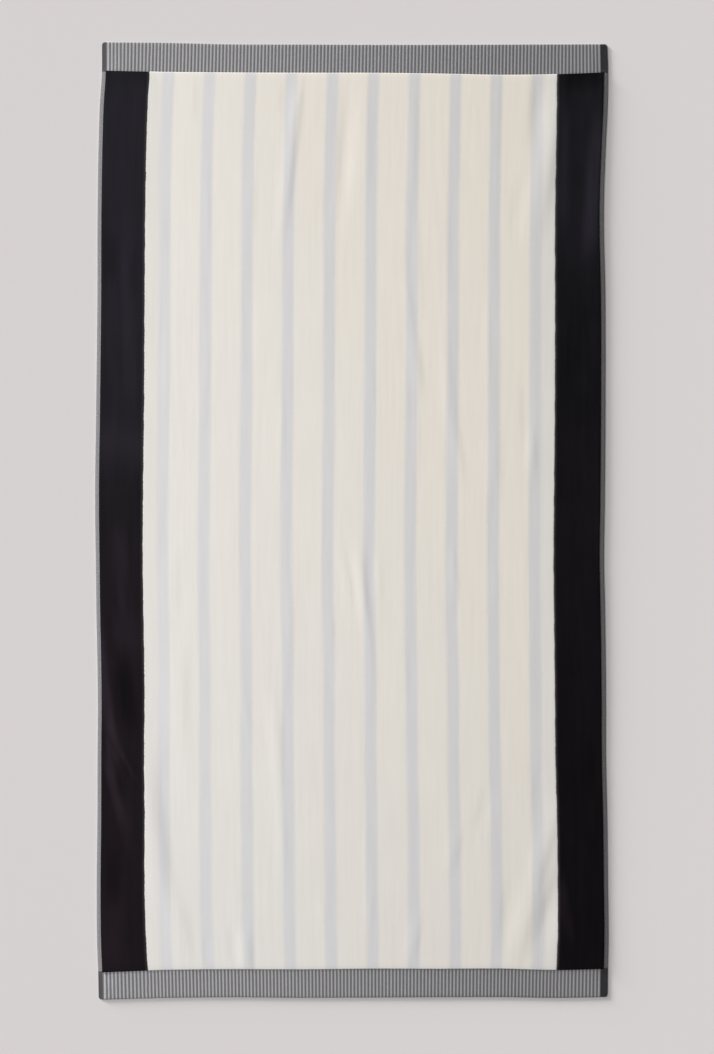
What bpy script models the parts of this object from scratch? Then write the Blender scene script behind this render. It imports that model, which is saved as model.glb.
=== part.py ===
"""Beach towel lying flat, as one piece of woven cloth.

A cream velour ground with pale grey stripes, a black velour band down each side, a flat-woven
pinstriped hem at each end and a narrow flat-woven strip along each side.

Units are metres and +Z is up. The origin is the centre of the underside, +Y runs along the
towel's length and +X across it. The cloth has coordinates of its own: "across" is measured from
its left edge and "along" from its lower end, both on the flat cloth.
"""

import math
from collections import namedtuple

import bmesh
import bpy

MM = 0.001

# The flat cloth
WIDTH = 0.908
LENGTH = 1.700
PILE_THICKNESS = 4.2 * MM
FLAT_WEAVE_THICKNESS = 2.3 * MM

# Flat-woven parts, from each edge inwards
LEFT_STRIP = 6.8 * MM
RIGHT_STRIP = 7.5 * MM
LOWER_HEM = 50 * MM
UPPER_HEM = 50 * MM

# Black bands between the strips and the cream ground
LEFT_BAND = 77.2 * MM
RIGHT_BAND = 82 * MM

# Pale stripes on the cream ground, centred on it
STRIPE_COUNT = 10
STRIPE_PITCH = 73.8 * MM
STRIPE_WIDTH = 21 * MM

# Rim, step from flat weave to pile, and corners
RIM_RADIUS = 1.4 * MM
RIM_STEP = 0.3  # of that radius, to the line that shapes the rounding
RIM_SHARE = 0.6  # of the thickness that is left at the very edge
PILE_SHOULDER = 1.6 * MM
CORNER_RADIUS = 5 * MM

# The flat weave thins towards the long edges, and the hems thicken from their ends to the pile
SIDE_SLOPE = 12 * MM
SIDE_SLOPE_SHARE = 0.6  # of the thickness that is left at the long edges
HEM_RISE = 0.9 * MM
HEM_RISE_START = 8 * MM  # from the long edges
HEM_RISE_END = 30 * MM

# Spacing of the mesh
BAND_SPACING = 26 * MM
LENGTH_SPACING = 62 * MM
RIDGE_COLUMNS = 9 * MM
RIDGE_ROWS = 30 * MM
CLOSEST_LINES = 0.6  # of those last two, to the lines already there

GROUND_START = LEFT_STRIP + LEFT_BAND
GROUND_END = WIDTH - RIGHT_STRIP - RIGHT_BAND

# How far each lengthwise line of the cloth lies to the right of its straight place, in
# millimetres, at stations in millimetres above the middle of the length.
SideLine = namedtuple("SideLine", "station left_edge ground_start ground_end right_edge")
SIDE_LINES = (
    SideLine(-850, 2.0, 7.3, -0.8, 1.4),
    SideLine(-800, 1.1, 5.8, 0.3, 2.1),
    SideLine(-754, -0.6, 3.0, 2.5, 3.0),
    SideLine(-647, -1.5, -0.2, 2.9, 2.0),
    SideLine(-530, -0.3, 0.0, 1.6, 0.6),
    SideLine(-415, 0.0, -1.0, -1.3, -1.8),
    SideLine(-326, 0.6, -0.2, -2.0, -2.0),
    SideLine(-148, -2.2, -2.5, -3.9, -4.2),
    SideLine(-76, -3.1, -3.5, -4.6, -5.7),
    SideLine(31, -4.4, -3.1, -3.9, -4.5),
    SideLine(209, -2.4, -1.1, -2.3, -3.2),
    SideLine(387, -0.4, -0.2, -1.9, -3.3),
    SideLine(565, 0.2, 1.2, -1.7, -6.1),
    SideLine(672, 2.0, 3.1, 0.2, -2.3),
    SideLine(742, 4.2, 5.5, 1.1, 1.2),
    SideLine(795, 7.7, 8.5, 1.5, 2.3),
    SideLine(850, 7.9, 10.0, 2.5, 1.0),
)

# How far each crosswise line lies above its straight place, in millimetres, at stations in
# millimetres to the right of the middle of the width.
EndLine = namedtuple("EndLine", "station lower_edge lower_hem upper_hem upper_edge")
END_LINES = (
    EndLine(-450, -3.3, -4.6, 3.6, 4.4),
    EndLine(-342, -0.2, -0.5, 1.2, 3.5),
    EndLine(-235, 1.2, 0.8, 0.2, 1.0),
    EndLine(-93, 0.2, 0.6, -0.4, 0.5),
    EndLine(50, 0.8, 1.8, -0.6, 0.0),
    EndLine(157, 1.2, 1.5, -2.0, 0.1),
    EndLine(264, 1.5, 1.9, -4.0, 0.4),
    EndLine(362, 0.0, -0.4, -2.8, 0.7),
    EndLine(450, 1.3, 1.8, 0.5, 0.9),
)

# Soft ridges where the cloth lifts off the surface. The place is the ridge's crest from the
# middle of the cloth, the lean turns its top to the right, and all sizes are in millimetres.
# A ridge's right-facing slope is the steeper one, with a share of its width.
STEEP_SHARE = 0.38
LEAST_LIFT = 0.05 * MM  # any less, and the cloth lies flat
Ridge = namedtuple("Ridge", "right up length width height lean_degrees")
RIDGES = (
    Ridge(-108, 650, 400, 34, 0.52, 6),
    Ridge(-96, 745, 110, 26, 0.16, 4),
    Ridge(354, 655, 400, 60, 0.95, 9),
    Ridge(116, 278, 180, 34, 0.40, -6),
    Ridge(173, 235, 290, 38, 0.26, -5),
    Ridge(19, -115, 190, 32, 0.52, -6),
    Ridge(-10, -98, 140, 28, 0.24, -10),
    Ridge(48, -102, 150, 34, 0.22, -4),
    Ridge(-305, -320, 280, 60, 0.29, 0),
    Ridge(-356, -545, 460, 84, 1.10, -8),
    Ridge(-308, -715, 200, 60, 0.55, -12),
    Ridge(-133, -400, 260, 36, 0.36, -3),
    Ridge(-187, -768, 120, 34, 0.40, -4),
    Ridge(340, -600, 270, 50, 0.54, 14),
    Ridge(308, -725, 190, 50, 0.42, 16),
    Ridge(-426, -310, 150, 30, 0.55, -11),
    Ridge(-424, -456, 95, 28, 0.59, -23),
    Ridge(-400, -422, 75, 22, 0.43, -24),
    Ridge(-405, -140, 130, 28, 0.55, -12),
    Ridge(-398, 435, 180, 28, 0.43, 0),
    Ridge(424, 644, 220, 40, 0.48, -2),
)

# Base colours (linear RGB) and roughness of each zone's yarn
CREAM = ((0.745, 0.705, 0.635, 1.0), 0.95)
STRIPE_GREY = ((0.610, 0.605, 0.605, 1.0), 0.95)
BLACK = ((0.012, 0.011, 0.013, 1.0), 0.85)
HEM_GREY = ((0.240, 0.235, 0.240, 1.0), 0.90)
ZONES = {"ground": CREAM, "stripe": STRIPE_GREY, "band": BLACK, "hem": HEM_GREY}


def empty_scene():
    for old in list(bpy.data.objects):
        bpy.data.objects.remove(old, do_unlink=True)


def yarn_material(name, colour, roughness):
    material = bpy.data.materials.new(name)
    material.use_nodes = True
    shader = material.node_tree.nodes["Principled BSDF"]
    shader.inputs["Base Color"].default_value = colour
    shader.inputs["Roughness"].default_value = roughness
    shader.inputs["Metallic"].default_value = 0.0
    material.diffuse_color = colour
    return material


def curve_through(rows, column, station):
    """The named column's value at a station, on a smooth curve through the table's rows."""
    stations = [row.station * MM for row in rows]
    values = [getattr(row, column) * MM for row in rows]
    last = len(rows) - 1
    if station <= stations[0]:
        return values[0]
    if station >= stations[last]:
        return values[last]
    low = max(i for i in range(last) if stations[i] <= station)
    high = low + 1
    span = stations[high] - stations[low]

    def slope(i):
        before, after = max(i - 1, 0), min(i + 1, last)
        return (values[after] - values[before]) / (stations[after] - stations[before])

    t = (station - stations[low]) / span
    return (
        (2 * t**3 - 3 * t**2 + 1) * values[low]
        + (t**3 - 2 * t**2 + t) * span * slope(low)
        + (3 * t**2 - 2 * t**3) * values[high]
        + (t**3 - t**2) * span * slope(high)
    )


def between_lines(place, lines):
    """Value at a place, on straight runs between (place, value) lines in rising order."""
    for (low, low_value), (high, high_value) in zip(lines, lines[1:]):
        if place <= high:
            share = (place - low) / (high - low)
            return low_value + share * (high_value - low_value)
    return lines[-1][1]


def drift_right(across, along):
    """How far the cloth lies to the right of its straight place."""
    station = along - LENGTH / 2
    lines = [
        (0.0, curve_through(SIDE_LINES, "left_edge", station)),
        (GROUND_START, curve_through(SIDE_LINES, "ground_start", station)),
        (GROUND_END, curve_through(SIDE_LINES, "ground_end", station)),
        (WIDTH, curve_through(SIDE_LINES, "right_edge", station)),
    ]
    return between_lines(across, lines)


def drift_up(across, along):
    """How far the cloth lies above its straight place, seen from over it."""
    station = across - WIDTH / 2
    lines = [
        (0.0, curve_through(END_LINES, "lower_edge", station)),
        (LOWER_HEM, curve_through(END_LINES, "lower_hem", station)),
        (LENGTH - UPPER_HEM, curve_through(END_LINES, "upper_hem", station)),
        (LENGTH, curve_through(END_LINES, "upper_edge", station)),
    ]
    return between_lines(along, lines)


def rounded_corner(across, along):
    """The point with the cloth's four square corners drawn in to CORNER_RADIUS."""
    from_side = min(across, WIDTH - across)
    from_end = min(along, LENGTH - along)
    if from_side >= CORNER_RADIUS or from_end >= CORNER_RADIUS:
        return across, along
    x = 1 - from_side / CORNER_RADIUS
    y = 1 - from_end / CORNER_RADIUS
    inset_x = CORNER_RADIUS * (1 - x * math.sqrt(1 - y * y / 2)) - from_side
    inset_y = CORNER_RADIUS * (1 - y * math.sqrt(1 - x * x / 2)) - from_end
    across += inset_x if across < WIDTH / 2 else -inset_x
    along += inset_y if along < LENGTH / 2 else -inset_y
    return across, along


def held(share):
    """The share, kept from 0 to 1."""
    return min(max(share, 0.0), 1.0)


def smooth_hump(distance, reach):
    """1 at no distance, falling smoothly to 0 at the reach."""
    if abs(distance) >= reach:
        return 0.0
    return 0.5 + 0.5 * math.cos(math.pi * distance / reach)


def lift(right, up):
    """Height of the cloth's underside above the surface that it lies on."""
    height = 0.0
    for ridge in RIDGES:
        lean = math.radians(ridge.lean_degrees)
        dx = right - ridge.right * MM
        dy = up - ridge.up * MM
        across = dx * math.cos(lean) - dy * math.sin(lean)
        along = dx * math.sin(lean) + dy * math.cos(lean)
        share = STEEP_SHARE if across > 0 else 1 - STEEP_SHARE
        hump = smooth_hump(across, share * ridge.width * MM)
        hump *= smooth_hump(along, ridge.length * MM / 2)
        height += ridge.height * MM * hump
    return height if height > LEAST_LIFT else 0.0


def weave_thickness(across, along):
    """Flat weave, thinner at the long edges and thicker in the hems, with a rounded rim."""
    from_side = min(across, WIDTH - across)
    from_end = min(along, LENGTH - along)
    slope = SIDE_SLOPE_SHARE + (1 - SIDE_SLOPE_SHARE) * held(from_side / SIDE_SLOPE)
    inside = held(min(from_side, from_end) / RIM_RADIUS)
    rim = RIM_SHARE + (1 - RIM_SHARE) * math.sqrt(1 - (1 - inside) ** 2)
    inwards = (from_side - HEM_RISE_START) / (HEM_RISE_END - HEM_RISE_START)
    rise = HEM_RISE * held(from_end / LOWER_HEM) * held(inwards)
    return FLAT_WEAVE_THICKNESS * min(slope, rim) + rise


def thickness(across, along):
    """Flat weave at the hems and strips, with a step up to the pile inside them."""
    into_pile = min(
        across - LEFT_STRIP,
        WIDTH - RIGHT_STRIP - across,
        along - LOWER_HEM,
        LENGTH - UPPER_HEM - along,
    )
    weave = weave_thickness(across, along)
    return weave + held(into_pile / PILE_SHOULDER) * (PILE_THICKNESS - weave)


def evenly(start, end, spacing):
    """Places from start to end, both included, about a spacing apart."""
    steps = max(1, round((end - start) / spacing))
    return [start + (end - start) * i / steps for i in range(steps + 1)]


def with_extra(fixed, extra, spacing):
    """The fixed places and those extra ones between them that aren't too close to others."""
    places = sorted(set(fixed))
    first, last = places[0], places[-1]
    for place in sorted(extra):
        clear = all(abs(place - other) >= CLOSEST_LINES * spacing for other in places)
        if clear and first < place < last:
            places.append(place)
    return sorted(places)


def rim_places():
    """Distances from an edge at which the rim's rounding is modelled."""
    return [0.0, RIM_STEP * RIM_RADIUS, RIM_RADIUS]


def stripe_edges():
    """Both edges of each pale stripe, from the cloth's left edge."""
    middle = (GROUND_START + GROUND_END) / 2
    first = middle - (STRIPE_COUNT - 1) * STRIPE_PITCH / 2
    centres = [first + i * STRIPE_PITCH for i in range(STRIPE_COUNT)]
    return [(c - STRIPE_WIDTH / 2, c + STRIPE_WIDTH / 2) for c in centres]


def column_places():
    """Where the mesh's lengthwise lines cross the width."""
    fixed = rim_places() + [WIDTH - rim for rim in rim_places()]
    fixed += evenly(LEFT_STRIP + PILE_SHOULDER, GROUND_START, BAND_SPACING)
    fixed += evenly(GROUND_END, WIDTH - RIGHT_STRIP - PILE_SHOULDER, BAND_SPACING)
    fixed += [LEFT_STRIP, WIDTH - RIGHT_STRIP]
    fixed += [edge for edges in stripe_edges() for edge in edges]
    extra = []
    for ridge in RIDGES:
        crest = ridge.right * MM + WIDTH / 2
        lean = math.radians(abs(ridge.lean_degrees))
        sway = ridge.length * MM * math.sin(lean) / 2
        width = ridge.width * MM * math.cos(lean)
        start = crest - sway - (1 - STEEP_SHARE) * width
        end = crest + sway + STEEP_SHARE * width
        extra += evenly(start, end, RIDGE_COLUMNS)
    return with_extra(fixed, extra, RIDGE_COLUMNS)


def row_places():
    """Where the mesh's crosswise lines cross the length."""
    pile_start, pile_end = LOWER_HEM + PILE_SHOULDER, LENGTH - UPPER_HEM - PILE_SHOULDER
    fixed = rim_places() + [LENGTH - rim for rim in rim_places()]
    fixed += evenly(pile_start, pile_end, LENGTH_SPACING)
    fixed += [LOWER_HEM, LENGTH - UPPER_HEM]
    extra = []
    for ridge in RIDGES:
        middle = ridge.up * MM + LENGTH / 2
        reach = ridge.length * MM / 2
        extra += evenly(middle - reach, middle + reach, RIDGE_ROWS)
    return with_extra(fixed, extra, RIDGE_ROWS)


def zone_at(across, along):
    """Name of the woven zone at a place on the cloth."""
    if not LOWER_HEM < along < LENGTH - UPPER_HEM:
        return "hem"
    if not LEFT_STRIP < across < WIDTH - RIGHT_STRIP:
        return "hem"
    if not GROUND_START < across < GROUND_END:
        return "band"
    on_stripe = any(left < across < right for left, right in stripe_edges())
    return "stripe" if on_stripe else "ground"


def lie_on_surface(across, along):
    """The underside's point for a place on the cloth, before it is centred."""
    across, along = rounded_corner(across, along)
    right = across - WIDTH / 2 + drift_right(across, along)
    up = along - LENGTH / 2 + drift_up(across, along)
    return right, up, lift(right, up)


def cloth_grid(columns, rows):
    """A grid with a vertex where each column and row cross, and each vertex's flat place."""
    grid = bmesh.new()
    segments = {"x_segments": len(columns) - 1, "y_segments": len(rows) - 1}
    bmesh.ops.create_grid(grid, size=1.0, **segments)  # from -1 to 1 both ways
    grid.verts.index_update()
    places = []
    for vert in grid.verts:
        column = round((vert.co.x + 1) / 2 * segments["x_segments"])
        row = round((vert.co.y + 1) / 2 * segments["y_segments"])
        places.append((columns[column], rows[row]))
    return grid, places


def colour_zones(grid, places):
    """Give each face the material of the woven zone that its middle is in."""
    zone_names = list(ZONES)
    for face in grid.faces:
        corners = [places[vert.index] for vert in face.verts]
        across = sum(corner[0] for corner in corners) / len(corners)
        along = sum(corner[1] for corner in corners) / len(corners)
        face.material_index = zone_names.index(zone_at(across, along))


def middle_of(values):
    return (min(values) + max(values)) / 2


def centre_on_origin(grid):
    """Bring the middle of the outline's box over the origin."""
    right = middle_of([vert.co.x for vert in grid.verts])
    up = middle_of([vert.co.y for vert in grid.verts])
    bmesh.ops.translate(grid, verts=grid.verts, vec=(-right, -up, 0.0))


def add_thickness(towel, thicknesses):
    """Solidify upwards from the underside, by each point's own thickness."""
    group = towel.vertex_groups.new(name="thickness")
    for index, value in enumerate(thicknesses):
        group.add([index], value / PILE_THICKNESS, "REPLACE")
    solidify = towel.modifiers.new("cloth thickness", "SOLIDIFY")
    solidify.thickness = PILE_THICKNESS
    solidify.offset = 1.0
    solidify.vertex_group = group.name
    solidify.use_even_offset = False


def make_towel(collection):
    grid, places = cloth_grid(column_places(), row_places())
    colour_zones(grid, places)
    for vert in grid.verts:
        vert.co = lie_on_surface(*places[vert.index])
    centre_on_origin(grid)
    mesh = bpy.data.meshes.new("towel")
    grid.to_mesh(mesh)
    grid.free()
    for name, (colour, roughness) in ZONES.items():
        mesh.materials.append(yarn_material(name, colour, roughness))
    mesh.shade_smooth()
    towel = bpy.data.objects.new("towel", mesh)
    collection.objects.link(towel)
    add_thickness(towel, [thickness(*place) for place in places])


def main():
    empty_scene()
    collection = bpy.data.collections.new("beach_towel")
    bpy.context.scene.collection.children.link(collection)
    make_towel(collection)


main()
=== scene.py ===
"""Looks of a beach towel lying flat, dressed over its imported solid.

The towel's velour ground, its two dark velour bands, its two flat-woven end hems and its two
side strips are each a thin closed sheet of their own, laid in the solid's folds, and the sewing
is one piece of small stitches. Metres, +Z up, the solid's own frame: the origin is the middle of
the underside and +Y runs along the length.

The cloth has flat coordinates: "across" from its left edge and "along" from its lower end.
"""
import math
from collections import namedtuple

import bpy
import numpy as np
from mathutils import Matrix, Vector


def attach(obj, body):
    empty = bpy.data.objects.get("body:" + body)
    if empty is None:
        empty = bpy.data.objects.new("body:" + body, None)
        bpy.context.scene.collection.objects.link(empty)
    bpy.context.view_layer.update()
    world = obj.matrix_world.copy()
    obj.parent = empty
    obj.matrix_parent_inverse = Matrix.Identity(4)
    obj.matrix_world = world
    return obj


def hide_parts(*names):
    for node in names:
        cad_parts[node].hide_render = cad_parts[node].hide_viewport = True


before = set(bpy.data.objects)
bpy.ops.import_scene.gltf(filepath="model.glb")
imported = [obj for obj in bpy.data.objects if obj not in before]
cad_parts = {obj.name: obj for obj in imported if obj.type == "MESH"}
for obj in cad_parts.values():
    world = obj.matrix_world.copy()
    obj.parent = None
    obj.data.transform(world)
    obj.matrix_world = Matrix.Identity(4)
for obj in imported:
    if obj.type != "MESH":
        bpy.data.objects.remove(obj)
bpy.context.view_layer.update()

MM = 0.001

# ---------------------------------------------------------------------------------------------
# Sizes of the flat cloth, as in the solid
# ---------------------------------------------------------------------------------------------
WIDTH = 0.908
LENGTH = 1.700
PILE_THICKNESS = 4.2 * MM
FLAT_WEAVE_THICKNESS = 2.3 * MM
LEFT_STRIP = 6.8 * MM
RIGHT_STRIP = 7.5 * MM
LOWER_HEM = 50 * MM
UPPER_HEM = 50 * MM
LEFT_BAND = 77.2 * MM
RIGHT_BAND = 82 * MM
STRIPE_PITCH = 73.8 * MM
STRIPE_WIDTH = 21 * MM
STRIPE_COUNT = 10
STRIPE_SOFTNESS = 4.5 * MM
CORNER_RADIUS = 5 * MM

GROUND_START = LEFT_STRIP + LEFT_BAND
GROUND_END = WIDTH - RIGHT_STRIP - RIGHT_BAND
GROUND_MIDDLE = (GROUND_START + GROUND_END) / 2
FIRST_STRIPE = GROUND_MIDDLE - (STRIPE_COUNT - 1) * STRIPE_PITCH / 2
PILE_TOP = LENGTH - UPPER_HEM
PILE_RIGHT = WIDTH - RIGHT_STRIP

# Flat weave: pinstripes, the dark sides of the end hems, and the threads of the side strips
PINSTRIPE_PITCH = 6.3 * MM
FIRST_PINSTRIPE = 4.7 * MM
PINSTRIPE_SOFTNESS = 0.25 * MM
WHITE_SHARE = 0.46
# Painted light: the hems' yarn is drawn lighter at the left and darker at the right, where the low
# light from the left falls on it
HEM_TONE_LEFT = 1.075
HEM_TONE_RIGHT = 0.88
UPPER_HEM_TONE = 0.925  # against the lower hem
DARK_LEFT = 7.4 * MM
DARK_RIGHT = 12.2 * MM
DARK_SOFTNESS = 0.3 * MM
PICK = 0.6 * MM  # half the spacing of the hems' crosswise threads
# Painted light and shade: the left side strip is drawn lighter where the light falls on it, the right
# one darker as it lies in the pile's shadow
STRIP_TONE_LEFT = 0.965
STRIP_TONE_RIGHT = 0.737
WARP_PITCH = 1.8 * MM
WEFT_PITCH = 2.6 * MM

# Rows of sewing beside the pile's ends and along the side strips
STITCH_LENGTH = 3 * MM
STITCH_PITCH = 4 * MM
STITCH_INSET = 3 * MM
STITCH_SIDES = 5
THREAD_RADIUS = 0.25 * MM
# Places along a stitch and its thickness there, both as shares, and its height in mm
StitchRing = namedtuple("StitchRing", "place thickness height")
STITCH_RINGS = (
    StitchRing(-0.50, 0.35, -0.20),
    StitchRing(-0.25, 1.00, 0.15),
    StitchRing(0.25, 1.00, 0.15),
    StitchRing(0.50, 0.35, -0.20),
)

# Rims and joins between the pieces
RIM_RADIUS = 1.4 * MM
RIM_SHARE = 0.6
PILE_EDGE_RADIUS = 1.6 * MM
PILE_EDGE_SHARE = 0.88
TUCK = 1.5 * MM
PILE_LIFT = 0.1 * MM  # of its underside, above the weave that is tucked under it
BORDER_RADIUS = 0.7 * MM
BORDER_SHARE = 0.93
BORDER_WOBBLE = 0.35 * MM
BORDER_WAVE = 57 * MM
BORDER_START = 40  # of its waves, for each metre across, so that the two borders differ
BORDER_REACH = 9 * MM
# Waves that make an uneven line, as shares of the first one's turns, start and height
Wave = namedtuple("Wave", "turns start height")
WAVES = (Wave(1, 1, 1), Wave(2.3, 2.1, 0.6), Wave(4.9, 3.7, 0.6))
HEM_RISE = 0.9 * MM  # of the end hems, from their outer edges to the pile
HEM_RISE_START = 8 * MM  # from the long edges
HEM_RISE_END = 30 * MM
SIDE_SLOPE = 12 * MM
SIDE_SLOPE_SHARE = 0.60
RIB_HEIGHT = 0.13 * MM
STEEP_SHARE = 0.38  # of a fold's width

# Spacing of the sheets' grids, and their shading
EDGE_STEPS = (0.0, 0.08, 0.25, 0.55, 1.0)  # of an edge's radius
GROUND_COLUMNS = 3.2 * MM
BAND_COLUMNS = 3 * MM
PILE_ROWS = 9 * MM
COLUMNS_PER_PINSTRIPE = 8
HEM_ROWS = 4 * MM
STRIP_COLUMNS = 2 * MM
STRIP_ROWS = 5 * MM
SHARP_DEGREES = 50  # between two faces, past which the edge isn't shaded smooth

# The bake maps: the walls' reach, the lengths that narrow sheets are cut into, a stitch's place
BAKE_MARGIN = 0.006  # of the map
HEM_MAP_LENGTH = 0.23
STRIP_MAP_LENGTH = 0.16
STITCH_MAP_LENGTH = 0.8
STITCH_MAP_BEND = 0.05
STITCH_MAP_WIDTH = 0.4

# Drift of the lengthwise lines to the right, in mm, at stations above the middle
SideLine = namedtuple("SideLine", "station left_edge ground_start ground_end right_edge")
SIDE_LINES = (
    SideLine(-850, 2.0, 7.3, -0.8, 1.4),
    SideLine(-800, 1.1, 5.8, 0.3, 2.1),
    SideLine(-754, -0.6, 3.0, 2.5, 3.0),
    SideLine(-647, -1.5, -0.2, 2.9, 2.0),
    SideLine(-530, -0.3, 0.0, 1.6, 0.6),
    SideLine(-415, 0.0, -1.0, -1.3, -1.8),
    SideLine(-326, 0.6, -0.2, -2.0, -2.0),
    SideLine(-148, -2.2, -2.5, -3.9, -4.2),
    SideLine(-76, -3.1, -3.5, -4.6, -5.7),
    SideLine(31, -4.4, -3.1, -3.9, -4.5),
    SideLine(209, -2.4, -1.1, -2.3, -3.2),
    SideLine(387, -0.4, -0.2, -1.9, -3.3),
    SideLine(565, 0.2, 1.2, -1.7, -6.1),
    SideLine(672, 2.0, 3.1, 0.2, -2.3),
    SideLine(742, 4.2, 5.5, 1.1, 1.2),
    SideLine(795, 7.7, 8.5, 1.5, 2.3),
    SideLine(850, 7.9, 10.0, 2.5, 1.0),
)

# Drift of the crosswise lines upwards, in mm, at stations to the right of the middle
EndLine = namedtuple("EndLine", "station lower_edge lower_hem upper_hem upper_edge")
END_LINES = (
    EndLine(-450, -3.3, -4.6, 3.6, 4.4),
    EndLine(-342, -0.2, -0.5, 1.2, 3.5),
    EndLine(-235, 1.2, 0.8, 0.2, 1.0),
    EndLine(-93, 0.2, 0.6, -0.4, 0.5),
    EndLine(50, 0.8, 1.8, -0.6, 0.0),
    EndLine(157, 1.2, 1.5, -2.0, 0.1),
    EndLine(264, 1.5, 1.9, -4.0, 0.4),
    EndLine(362, 0.0, -0.4, -2.8, 0.7),
    EndLine(450, 1.3, 1.8, 0.5, 0.9),
)

# Soft folds, in mm: the whole cloth is lifted along them. A lean turns a fold's top to the right.
Fold = namedtuple("Fold", "right up length width height lean_degrees")
RIDGES = (
    Fold(-108, 650, 400, 34, 0.52, 6),
    Fold(-96, 745, 110, 26, 0.16, 4),
    Fold(354, 655, 400, 60, 0.95, 9),
    Fold(116, 278, 180, 34, 0.40, -6),
    Fold(173, 235, 290, 38, 0.26, -5),
    Fold(19, -115, 190, 32, 0.52, -6),
    Fold(-10, -98, 140, 28, 0.24, -10),
    Fold(48, -102, 150, 34, 0.22, -4),
    Fold(-305, -320, 280, 60, 0.29, 0),
    Fold(-356, -545, 460, 84, 1.10, -8),
    Fold(-308, -715, 200, 60, 0.55, -12),
    Fold(-133, -400, 260, 36, 0.36, -3),
    Fold(-187, -768, 120, 34, 0.40, -4),
    Fold(340, -600, 270, 50, 0.54, 14),
    Fold(308, -725, 190, 50, 0.42, 16),
    Fold(-426, -310, 150, 30, 0.55, -11),
    Fold(-424, -456, 95, 28, 0.59, -23),
    Fold(-400, -422, 75, 22, 0.43, -24),
    Fold(-405, -140, 130, 28, 0.55, -12),
    Fold(-398, 435, 180, 28, 0.43, 0),
    Fold(424, 644, 220, 40, 0.48, -2),
    Fold(454, 20, 1480, 90, 1.20, 0),
    Fold(454, 570, 640, 90, 1.20, 0),
    Fold(160, -850, 1100, 90, 0.25, 90),
)

# Slighter folds of the pile alone, in mm; a negative height is a trough
CREASES = (
    Fold(-121, 745, 110, 32, -0.20, 0),
    Fold(-268, 745, 130, 46, -0.25, 0),
    Fold(-180, 570, 190, 40, 0.14, 2),
    Fold(-258, 560, 220, 24, 0.10, 0),
    Fold(-45, 570, 130, 34, -0.11, -6),
    Fold(-46, 410, 160, 26, 0.08, 0),
    Fold(-14, 655, 340, 38, -0.45, 3),
    Fold(24, 690, 250, 40, 0.14, 0),
    Fold(111, 685, 290, 28, 0.19, 0),
    Fold(118, 460, 260, 30, 0.13, -3),
    Fold(261, 730, 170, 15, 0.06, 0),
    Fold(327, 735, 180, 40, -0.43, 4),
    Fold(292, 555, 140, 36, -0.16, 4),
    Fold(105, 475, 170, 28, -0.11, 0),
    Fold(178, 490, 240, 32, -0.10, 0),
    Fold(-325, 515, 120, 30, -0.14, 0),
    Fold(-328, 285, 240, 24, 0.08, 0),
    Fold(-262, 245, 240, 26, 0.10, 4),
    Fold(-184, 330, 220, 30, -0.08, -2),
    Fold(-126, 165, 180, 26, 0.11, 0),
    Fold(-26, 320, 180, 34, -0.08, 0),
    Fold(103, 385, 170, 20, 0.11, -9),
    Fold(34, 245, 130, 26, 0.13, -4),
    Fold(117, 145, 170, 22, 0.11, 0),
    Fold(190, 122, 160, 34, 0.29, -8),
    Fold(255, 112, 190, 46, 0.30, 0),
    Fold(242, 300, 260, 24, 0.11, 0),
    Fold(308, 195, 190, 34, -0.22, -4),
    Fold(323, 122, 130, 28, 0.34, -2),
    Fold(-320, -115, 220, 52, 0.16, 0),
    Fold(-112, -190, 270, 38, 0.18, 3),
    Fold(-187, -348, 130, 20, 0.13, -6),
    Fold(-123, -560, 240, 34, 0.19, -3),
    Fold(-37, -196, 70, 20, 0.11, 0),
    Fold(-40, -300, 80, 22, -0.10, 0),
    Fold(34, -80, 90, 26, -0.16, -7),
    Fold(31, -210, 220, 26, 0.20, -5),
    Fold(184, -95, 150, 24, 0.20, -5),
    Fold(174, -180, 100, 38, -0.18, 0),
    Fold(256, -115, 100, 24, 0.10, 0),
    Fold(102, -245, 190, 28, -0.11, -4),
    Fold(317, -255, 150, 28, 0.11, -2),
    Fold(-330, -445, 150, 56, -0.19, -4),
    Fold(-274, -535, 150, 22, 0.11, 0),
    Fold(-53, -700, 110, 20, 0.14, -6),
    Fold(33, -690, 90, 24, 0.13, 0),
    Fold(-214, -758, 100, 28, -0.22, -6),
    Fold(-260, -768, 80, 24, -0.13, -4),
    Fold(234, -515, 140, 44, -0.25, 12),
    Fold(182, -590, 150, 38, 0.20, 16),
    Fold(112, -745, 140, 34, 0.26, 10),
    Fold(277, -690, 180, 42, -0.25, 8),
    Fold(352, -690, 220, 54, -0.72, 16),
    Fold(331, -480, 150, 36, -0.19, 4),
    Fold(30, -600, 140, 32, 0.11, -5),
)

# ---------------------------------------------------------------------------------------------
# How the flat cloth lies
# ---------------------------------------------------------------------------------------------


def curve_through(rows, column, station):
    """The named column's values at some stations, on a smooth curve through the rows."""
    at = np.array([row.station * MM for row in rows])
    values = np.array([getattr(row, column) * MM for row in rows])
    slopes = np.gradient(values, at)
    station = np.clip(station, at[0], at[-1])
    low = np.clip(np.searchsorted(at, station) - 1, 0, len(at) - 2)
    span = at[low + 1] - at[low]
    t = (station - at[low]) / span
    return (
        (2 * t**3 - 3 * t**2 + 1) * values[low]
        + (t**3 - 2 * t**2 + t) * span * slopes[low]
        + (3 * t**2 - 2 * t**3) * values[low + 1]
        + (t**3 - t**2) * span * slopes[low + 1]
    )


def between_lines(place, lines):
    """Values at some places, on straight runs between (place, values) lines in rising order."""
    found = np.array(lines[0][1] + 0 * place)
    for (low, low_value), (high, high_value) in zip(lines, lines[1:]):
        share = np.clip((place - low) / (high - low), 0, 1)
        found = np.where(place > low, low_value + share * (high_value - low_value), found)
    return found


def side_lines(station):
    return [
        (0.0, curve_through(SIDE_LINES, "left_edge", station)),
        (GROUND_START, curve_through(SIDE_LINES, "ground_start", station)),
        (GROUND_END, curve_through(SIDE_LINES, "ground_end", station)),
        (WIDTH, curve_through(SIDE_LINES, "right_edge", station)),
    ]


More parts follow.
